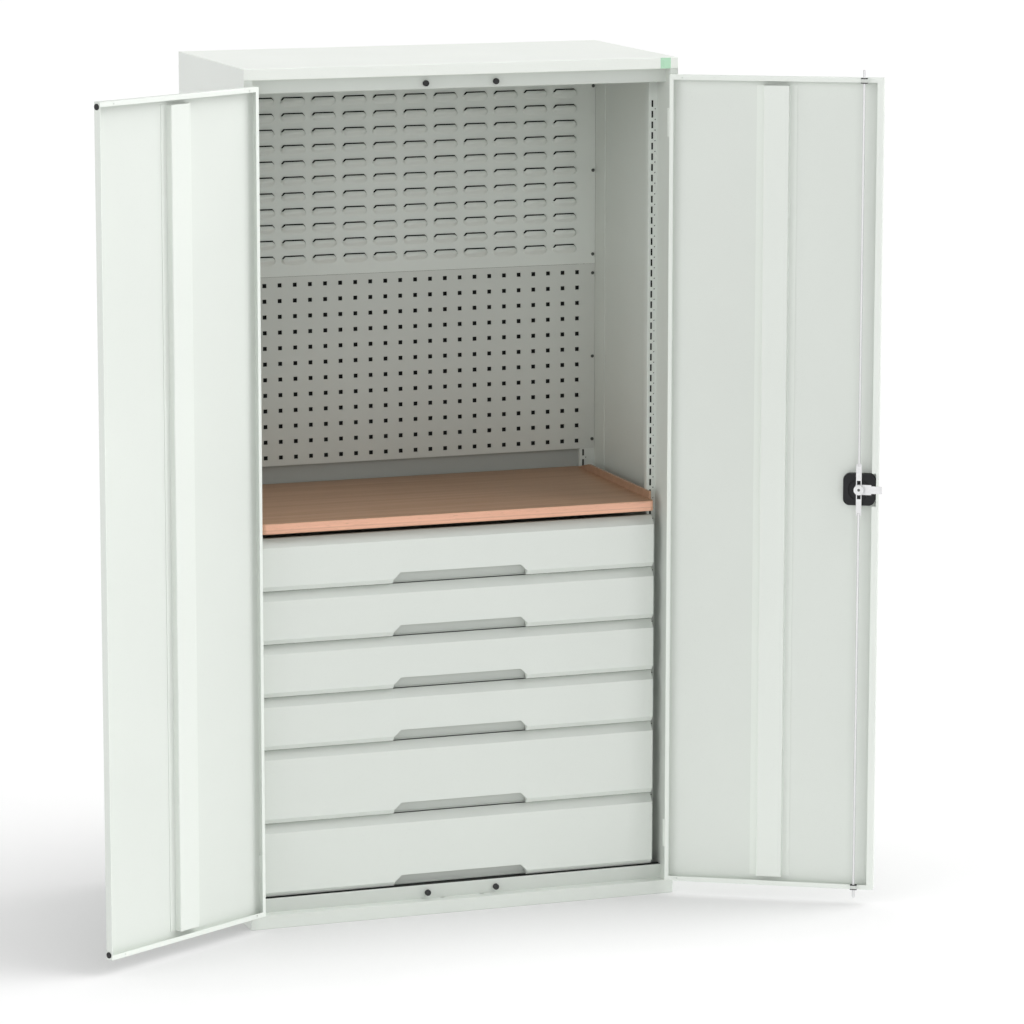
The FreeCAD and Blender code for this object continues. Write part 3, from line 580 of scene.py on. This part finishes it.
carcassSheets = {
    "side_panel_left": ("sidePanelLeft", "carcass"),
    "side_panel_right": ("sidePanelRight", "carcass"),
    "back_panel": ("backPanel", "carcass"),
    "top_panel": ("topPanel", "top"),
    "base_tray": ("baseTray", "tray"),
    "top_front_rail": ("topFrontRail", "inside"),
    "bottom_front_rail": ("bottomFrontRail", "inside"),
    "front_post_left": ("frontPostLeft", "inside"),
    "front_post_right": ("frontPostRight", "inside"),
    "rear_post_left": ("rearPostLeft", "inside"),
    "rear_post_right": ("rearPostRight", "inside"),
}
changes = {"back_panel": shadeBack, "bottom_front_rail": shadeTop}
for side in ("left", "right"):
    changes[f"side_panel_{side}"] = shadeSide
    changes[f"front_post_{side}"] = closePost(f"front_post_{side}")
for node, (name, finish) in carcassSheets.items():
    # the second and the third paint are painted shade, for recesses and for inner faces
    coats = [materials[finish], materials["recess"], materials["backWallShade" if node == "back_panel" else "sideWallShade"]]
    foldedPiece(node, name, "cabinet", coats, None, changes.get(node))
print("carcass done")


foldedPiece(
    "perforated_panel", "perforatedPanel", "cabinet",
    [materials["perforated"], materials["recess"]], None, shadeTop,
)


# Louvred panel, pressed from one sheet

louvrePanel = {
    "pitchX": 0.0767,
    "pitchZ": 0.038,
    "width": 0.0627,
    "height": 0.022,
    "proud": 0.0072,
    "sideMargin": 0.0483,
    "topMargin": 0.028,
    "columns": 12,
    "rows": 11,
    # each level from the open upper edge to the foot: its height as a share of the half height, how far
    # the foot line and the crown line stand back from the widest place, the crown's share of the rise and
    # the crown's lift
    "levels": [
        (1.0, 0.0072, 0.0088, 1.0, -0.0028),
        (0.35, 0.0012, 0.0030, 0.92, -0.0008),
        (-0.2, 0.0, 0.0050, 0.68, 0.0),
        (-0.68, 0.0026, 0.0092, 0.4, 0.0016),
        (-1.0, 0.0105, 0.0150, 0.2, 0.0040),
    ],
    "bend": 0.0016,
    "cellMargin": 0.004,
    "foot": 0.0005,  # width of the first rise at a hood's foot
    "splitShare": 0.3,
    "openShare": 0.5,  # a hood is open above this share of its half height
    "sheet": 0.0012,
}


def isUpright(edge):
    return abs(edge.verts[0].co.z - edge.verts[1].co.z) > 0.01


def levelled(face, middle):
    # each vert of a louvre's outline with its side and its level
    for side in (-1, 1):
        column = [vert for vert in face.verts if (vert.co.x - middle.x) * side > 0]
        column.sort(key=lambda vert: -vert.co.z)
        for vert, level in zip(column, louvrePanel["levels"]):
            yield side, vert, level


def makeLouvrePanel():
    values = louvrePanel
    low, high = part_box("louvre_panel")
    front = high.y - sheetMetal["sheet"]
    columns, rows = values["columns"], values["rows"]
    width, height = columns * values["pitchX"], rows * values["pitchZ"]
    lastX = high.x - values["sideMargin"] - values["width"] / 2
    middleX = lastX - (columns - 1) * values["pitchX"] / 2
    middleZ = high.z - values["topMargin"] - values["height"] / 2 - (rows - 1) * values["pitchZ"] / 2
    halfWidth, halfHeight = values["width"] / 2, values["height"] / 2
    bm = bmesh.new()
    for vert in bmesh.ops.create_grid(bm, x_segments=columns, y_segments=rows, size=0.5)["verts"]:
        vert.co = Vector((middleX + vert.co.x * width, front, middleZ - vert.co.y * height))
    bm.normal_update()
    cells = list(bm.faces)
    middles = {face: face.calc_center_median() for face in cells}
    bmesh.ops.inset_individual(bm, faces=cells, thickness=values["cellMargin"])
    upright = [edge for face in cells for edge in face.edges if isUpright(edge)]
    for edge in upright:
        for part in range(len(values["levels"]) - 2):
            bmesh.utils.edge_split(edge, edge.verts[0], values["splitShare"])
    for face in cells:
        for side, vert, level in levelled(face, middles[face]):
            share, footBack = level[:2]
            place = middles[face] + Vector((side * (halfWidth - footBack), 0, share * halfHeight))
            vert.co = Vector((place.x, front, place.z))
    bm.normal_update()
    bmesh.ops.inset_individual(bm, faces=cells, thickness=values["foot"])
    opened, hood = [], set()
    for face in cells:
        middle = middles[face]
        openFrom = middle.z + halfHeight * values["openShare"]
        for edge in face.edges:
            for ring in edge.link_faces:
                if ring is not face and ring.calc_center_median().z > openFrom:
                    opened.append(ring)
                elif ring is not face:
                    hood.update(ring.edges)
        for side, vert, (share, footBack, crownBack, proud, lift) in levelled(face, middle):
            across, rise = side * (halfWidth - crownBack), share * halfHeight + lift
            vert.co = Vector((middle.x + across, front - values["proud"] * proud, middle.z + rise))
    bmesh.ops.delete(bm, geom=opened, context="FACES")

    def onRim(vert):
        return max(abs(vert.co.x - middleX) / width, abs(vert.co.z - middleZ) / height) > 0.4999

    border = [edge for edge in bm.edges if edge.is_boundary and all(onRim(vert) for vert in edge.verts)]
    outer = bmesh.ops.extrude_edge_only(bm, edges=border)["geom"]
    for vert in [part for part in outer if isinstance(part, bmesh.types.BMVert)]:
        across = (vert.co.x - middleX) / (width / 2)
        rise = (vert.co.z - middleZ) / (height / 2)
        vert.co.x = low.x if across < -0.999 else high.x if across > 0.999 else vert.co.x
        vert.co.z = low.z if rise < -0.999 else high.z if rise > 0.999 else vert.co.z
    bm.normal_update()
    for face in bm.faces:
        face.smooth = abs(face.normal.y) < 0.9999
    folds = [edge for edge in hood if edge.is_valid and edge.calc_face_angle(0) > 0.3]
    bevelEdges(bm, folds, values["bend"], 2)
    bmesh.ops.recalc_face_normals(bm, faces=bm.faces)
    flat = max(bm.faces, key=lambda face: face.calc_area())
    if flat.normal.y > 0:
        bmesh.ops.reverse_faces(bm, faces=bm.faces)
    thicken = ("SOLIDIFY", {"thickness": values["sheet"], "offset": -1.0})
    finishPiece(
        bm, "louvrePanel", "cabinet", materials["louvre"], ["louvre_panel"], [thicken],
    )


makeLouvrePanel()
print("back wall done")


# Worktop board and its battens

worktop = {"cornerRadius": 0.012, "edgeRadius": 0.0018, "battenRadius": 0.0006}


def makeWorktop():
    low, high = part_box("worktop")
    bm = bmesh.new()
    addBox(bm, low, high)
    upright = [edge for edge in bm.edges if isUpright(edge)]
    corners = [edge for edge in upright if abs(edge.verts[0].co.y - low.y) < 0.001]  # only the front ones
    bevelEdges(bm, corners, worktop["cornerRadius"], 8)
    rims = [edge for edge in bm.edges if edge.calc_face_angle(0) > 1.2]
    bevelEdges(bm, rims, worktop["edgeRadius"], 3)
    finishPiece(bm, "worktopBoard", "cabinet", materials["board"], ["worktop"])


makeWorktop()
foldedPiece(
    "worktop_battens", "worktopBattens", "cabinet", materials["batten"],
    worktop["battenRadius"],
)
print("worktop done")


# Drawers

drawers = {
    "count": 6,
    "frontBend": 0.0016,
    "boxBend": 0.0012,
    "slideBend": 0.001,
    "gripDepth": 0.01,  # the back of the grip lies deeper than this
}


def shadeFront(number):
    # the leaning top fold, the back of the grip and the top edge under the next front are darker, all painted
    # shade: a darker copy of the paint on the fold and the grip's back, a dark one on the top edge
    def change(bm):
        if number < drawers["count"]:
            shadeTop(bm)
        foremost = min(vert.co.y for vert in bm.verts)
        for face in bm.faces:
            leaning = face.normal.y < -0.5 and 0.5 < face.normal.z < 0.8
            depth = face.calc_center_median().y - foremost
            gripBack = face.normal.y < -0.95 and depth > drawers["gripDepth"]
            if leaning or gripBack:
                face.material_index = 2
    return change


def slidePiece(node, name, body):
    foldedPiece(node, name, body, materials["zinc"], drawers["slideBend"])


for number in range(1, drawers["count"] + 1):
    body = f"drawer_{number}"
    foldedPiece(
        f"drawer_front_{number}", f"drawerFront{number}", body,
        [materials["drawer"], materials["gap"], materials["drawerFoldShade"]], drawers["frontBend"],
        shadeFront(number),
    )
    foldedPiece(
        f"drawer_box_{number}", f"drawerBox{number}", body, materials["drawerBox"],
        drawers["boxBend"],
    )
    slidePiece(f"drawer_runners_{number}", f"drawerRunners{number}", body)
    slidePiece(f"slide_middles_{number}", f"slideMiddles{number}", f"slides_{number}")
slidePiece("fixed_runners", "fixedRunners", "cabinet")
foldedPiece("worktop_brackets", "worktopBrackets", "cabinet", materials["zinc"])
print("drawers done")


# Doors

def paintLitRim(side):
    # the lips that are folded inwards along the door's edges take a lighter copy of the door paint, painted
    # light
    def change(bm):
        inward = swingOf(side).to_3x3() @ Vector((0, 1, 0))
        deepest = max(vert.co.dot(inward) for vert in bm.verts)
        for face in bm.faces:
            if face.calc_center_median().dot(inward) > deepest - sheetMetal["sheet"] / 2:
                face.material_index = 1
    return change


doors = {
    "leftBend": 0.0013,  # the left door's rim is one sheet thick at its free edge
    "rightBend": 0.0022,
    "hingeBend": 0.0006,
}

for side, word in ((-1, "left"), (1, "right")):
    title, body = word.title(), f"{word}_door"
    foldedPiece(
        f"{word}_door_panel", f"doorPanel{title}", body,
        [materials["door"], materials["doorRimLit"]], doors[f"{word}Bend"], paintLitRim(side),
    )
    foldedPiece(f"{word}_door_stiffener", f"doorStiffener{title}", body, materials["stiffener"])
    foldedPiece(
        f"{word}_door_hinge_leaves", f"doorHingeLeaves{title}", body, materials["hinge"],
        doors["hingeBend"],
    )
foldedPiece(
    "hinge_frame_leaves", "hingeFrameLeaves", "cabinet", materials["hinge"], doors["hingeBend"],
)
foldedPiece("hinge_pins", "hingePins", "cabinet", materials["zinc"], doors["hingeBend"])
print("doors done")


# Lock and small parts keep the shape of their CAD node and get rounded rims

smallRadius = {
    "railBuffer": 0.0018,
    "doorBuffer": 0.001,
    "plastic": 0.0004,
    "hub": 0.0003,
    "rod": 0.0002,
    "handle": 0.003,
    "cylinder": 0.0004,
    "screw": 0.0004,
    "badge": 0.0002,
}


def roundedCopy(node, name, body, material, radius, change=None):
    bm = cleanCopy(node)
    if change:
        change(bm)
    rims = [edge for edge in bm.edges if edge.calc_face_angle(0) > math.radians(40)]
    bevelEdges(bm, rims, smallRadius[radius], 3)
    return finishPiece(bm, name, body, material, [node])


lockDetail = {
    "sheetEdge": (0.0013, 0.0016),  # edges this long run through the flat parts
    "flatEnd": 0.0045,
    "tongueCorner": 0.0012,
    "housingCorner": 0.005,
    "housingTurn": (0.6, 1.0),  # radians between the faces at the housing's long corners
    "housingEdge": 0.012,
    "screwInset": 0.0085,
    "screwWall": 0.0003,
    "screwDepth": 0.0008,
    "guideEndBand": 0.0022,
    "betweenGuides": 1.0,
}


def roundFlats(radius):
    def change(bm):
        low, high = lockDetail["sheetEdge"]
        short = [edge for edge in bm.edges if low < edge.calc_length() < high and edge.is_convex]
        bevelEdges(bm, [edge for edge in short if edge.calc_face_angle(0) > 1.2], radius, 4)
    return change


def roundHousing(bm):
    least, most = lockDetail["housingTurn"]
    longEdges = [edge for edge in bm.edges if edge.calc_length() > lockDetail["housingEdge"]]
    corners = [edge for edge in longEdges if least < edge.calc_face_angle(0) < most]
    bevelEdges(bm, corners, lockDetail["housingCorner"], 4)


def bandGuides(bm):
    # a band at both ends of the lower and the upper guides takes the black plastic
    split = lockDetail["betweenGuides"]
    for isUpper in (False, True):
        heights = [vert.co.z for vert in bm.verts if (vert.co.z > split) == isUpper]
        low, high = min(heights) + lockDetail["guideEndBand"], max(heights) - lockDetail["guideEndBand"]
        for height in (low, high):
            cutAcross(bm, (0, 0, height), (0, 0, 1))
        for face in bm.faces:
            rise = face.calc_center_median().z
            if (rise > split) == isUpper and not low < rise < high:
                face.material_index = 1


def sinkScrew(bm):
    # the hub's middle carries a sunk screw
    roundFlats(lockDetail["tongueCorner"])(bm)
    front = swingOf(1).to_3x3() @ Vector((0, 1, 0))
    faces = [face for face in bm.faces if face.normal.dot(front) > 0.99]
    top = max(faces, key=lambda face: face.calc_center_median().dot(front))
    bmesh.ops.inset_region(bm, faces=[top], thickness=lockDetail["screwInset"])
    bmesh.ops.inset_region(bm, faces=[top], thickness=lockDetail["screwWall"], depth=-lockDetail["screwDepth"])
    top.material_index = 1


black, zinc = materials["blackPlastic"], materials["lockZinc"]
roundedCopy("rail_buffers", "railBuffers", "cabinet", materials["rubber"], "railBuffer")
roundedCopy("left_door_buffers", "doorBuffers", "left_door", materials["rubber"], "doorBuffer")
roundedCopy("lock_housing", "lockHousing", "right_door", black, "plastic", roundHousing)
roundedCopy(
    "rod_guides", "rodGuides", "right_door", [materials["nylon"], black], "plastic",
    bandGuides,
)
roundedCopy("lock_hub", "lockHub", "lock_turn", [zinc, materials["screw"]], "hub", sinkScrew)
for word, body in (("upper", "rod_up"), ("lower", "rod_down")):
    roundedCopy(f"{word}_rod", f"{word}Rod", body, zinc, "rod", roundFlats(lockDetail["flatEnd"]))
roundedCopy("door_handle", "doorHandle", "lock_turn", black, "handle")
roundedCopy("lock_cylinder", "lockCylinder", "key_core", materials["chrome"], "cylinder")
roundedCopy("panel_screws", "panelScrews", "cabinet", materials["screw"], "screw")
roundedCopy("badge_plate", "badgePlate", "cabinet", materials["badge"], "badge")
print("lock and small parts done")


# Floor, light and camera

stageLight = {
    "worldStrength": 0.25,
    "softness": 50,
    "suns": {
        # degrees to the right of the front, degrees up, strength
        "leftLight": (-75, 13, 1.15),
        "rightLowLight": (75, 12, 1.0),
        "rightHighLight": (75, 50, 1.75),
        "frontLight": (-12, 14, 0.5),
    },
    "floorSize": 40,
    "floorShade": 0.92,
    "floorShadeSeen": 0.55,  # the eye sees the floor with this shade and the lift
    "floorLift": 0.54,
    # painted shadow: how far the floor's glow fades near the object
    "paintedShadowReach": 0.8,  # how far the dark at the object's foot spreads
}


def addSun(name, side, rise, strength):
    light = bpy.data.lights.new(name, "SUN")
    light.energy = strength
    light.angle = math.radians(stageLight["softness"])
    turn, tilt = math.radians(side), math.radians(rise)
    toward = Vector((math.sin(turn) * math.cos(tilt), -math.cos(turn) * math.cos(tilt), math.sin(tilt)))
    lamp = bpy.data.objects.new(name, light)
    lamp.rotation_euler = toward.to_track_quat("Z", "Y").to_euler()
    bpy.context.scene.collection.objects.link(lamp)


def seenRays(tree):
    # 1 for what the camera sees, directly or in gloss and glass
    rays = tree.nodes.new("ShaderNodeLightPath").outputs
    direct = addMath(tree, "MAXIMUM", rays["Is Camera Ray"], rays["Is Glossy Ray"])
    return addMath(tree, "MAXIMUM", direct, rays["Is Transmission Ray"])


def makeFloor():
    bm = bmesh.new()
    bmesh.ops.create_grid(bm, x_segments=1, y_segments=1, size=stageLight["floorSize"])
    mesh = bpy.data.meshes.new("studioFloor")
    bm.to_mesh(mesh)
    bm.free()
    floor = bpy.data.objects.new("studioFloor", mesh)
    bpy.context.scene.collection.objects.link(floor)
    material = bpy.data.materials.new("studioFloor")
    material.use_nodes = True
    tree = material.node_tree
    tree.nodes.clear()
    output = tree.nodes.new("ShaderNodeOutputMaterial")
    diffuse = tree.nodes.new("ShaderNodeBsdfDiffuse")
    glow = tree.nodes.new("ShaderNodeEmission")
    seen = seenRays(tree)
    shades = [(*[stageLight[label]] * 3, 1) for label in ("floorShade", "floorShadeSeen")]
    # painted shadow: the floor's glow fades by ambient occlusion near the object
    paintedContactShadow = tree.nodes.new("ShaderNodeAmbientOcclusion")
    paintedContactShadow.inputs["Distance"].default_value = stageLight["paintedShadowReach"]
    lift = addMath(tree, "MULTIPLY", seen, stageLight["floorLift"])
    total = tree.nodes.new("ShaderNodeAddShader")
    tree.links.new(colourMix(tree, "MIX", seen, *shades), diffuse.inputs["Color"])
    tree.links.new(addMath(tree, "MULTIPLY", lift, paintedContactShadow.outputs["AO"]), glow.inputs["Strength"])
    tree.links.new(diffuse.outputs[0], total.inputs[0])
    tree.links.new(glow.outputs[0], total.inputs[1])
    tree.links.new(total.outputs[0], output.inputs["Surface"])
    mesh.materials.append(material)


def makeWorld():
    world = bpy.data.worlds.new("studioWorld")
    bpy.context.scene.world = world
    world.use_nodes = True
    tree = world.node_tree
    tree.nodes.clear()
    output = tree.nodes.new("ShaderNodeOutputWorld")
    light = tree.nodes.new("ShaderNodeBackground")
    light.inputs["Color"].default_value = (1, 1, 1, 1)
    light.inputs["Strength"].default_value = stageLight["worldStrength"]
    backdrop = tree.nodes.new("ShaderNodeBackground")
    backdrop.inputs["Color"].default_value = (1, 1, 1, 1)
    backdrop.inputs["Strength"].default_value = 1.0
    mix = tree.nodes.new("ShaderNodeMixShader")
    tree.links.new(seenRays(tree), mix.inputs["Fac"])
    tree.links.new(light.outputs[0], mix.inputs[1])
    tree.links.new(backdrop.outputs[0], mix.inputs[2])
    tree.links.new(mix.outputs[0], output.inputs["Surface"])


cameraPlace = {
    "location": (-3.43092, -10.27233, 2.86226),
    "pitch": 0.17168,  # looks down by this, in radians
    "yaw": 0.33644,
    "lens": 162.371,
    "shiftX": 0.02,
    "shiftY": -0.03,
    "clipEnd": 200,
}


def makeCamera():
    data = bpy.data.cameras.new("photoCamera")
    data.sensor_width = 36
    data.lens = cameraPlace["lens"]
    data.shift_x = cameraPlace["shiftX"]
    data.shift_y = cameraPlace["shiftY"]
    data.clip_end = cameraPlace["clipEnd"]
    camera = bpy.data.objects.new("photoCamera", data)
    camera.location = cameraPlace["location"]
    camera.rotation_euler = (math.pi / 2 - cameraPlace["pitch"], 0, -cameraPlace["yaw"])
    bpy.context.scene.collection.objects.link(camera)
    bpy.context.scene.camera = camera


for name, (side, rise, strength) in stageLight["suns"].items():
    addSun(name, side, rise, strength)
makeFloor()
makeWorld()
makeCamera()
bpy.context.scene.view_settings.view_transform = "Standard"
print("stage done")
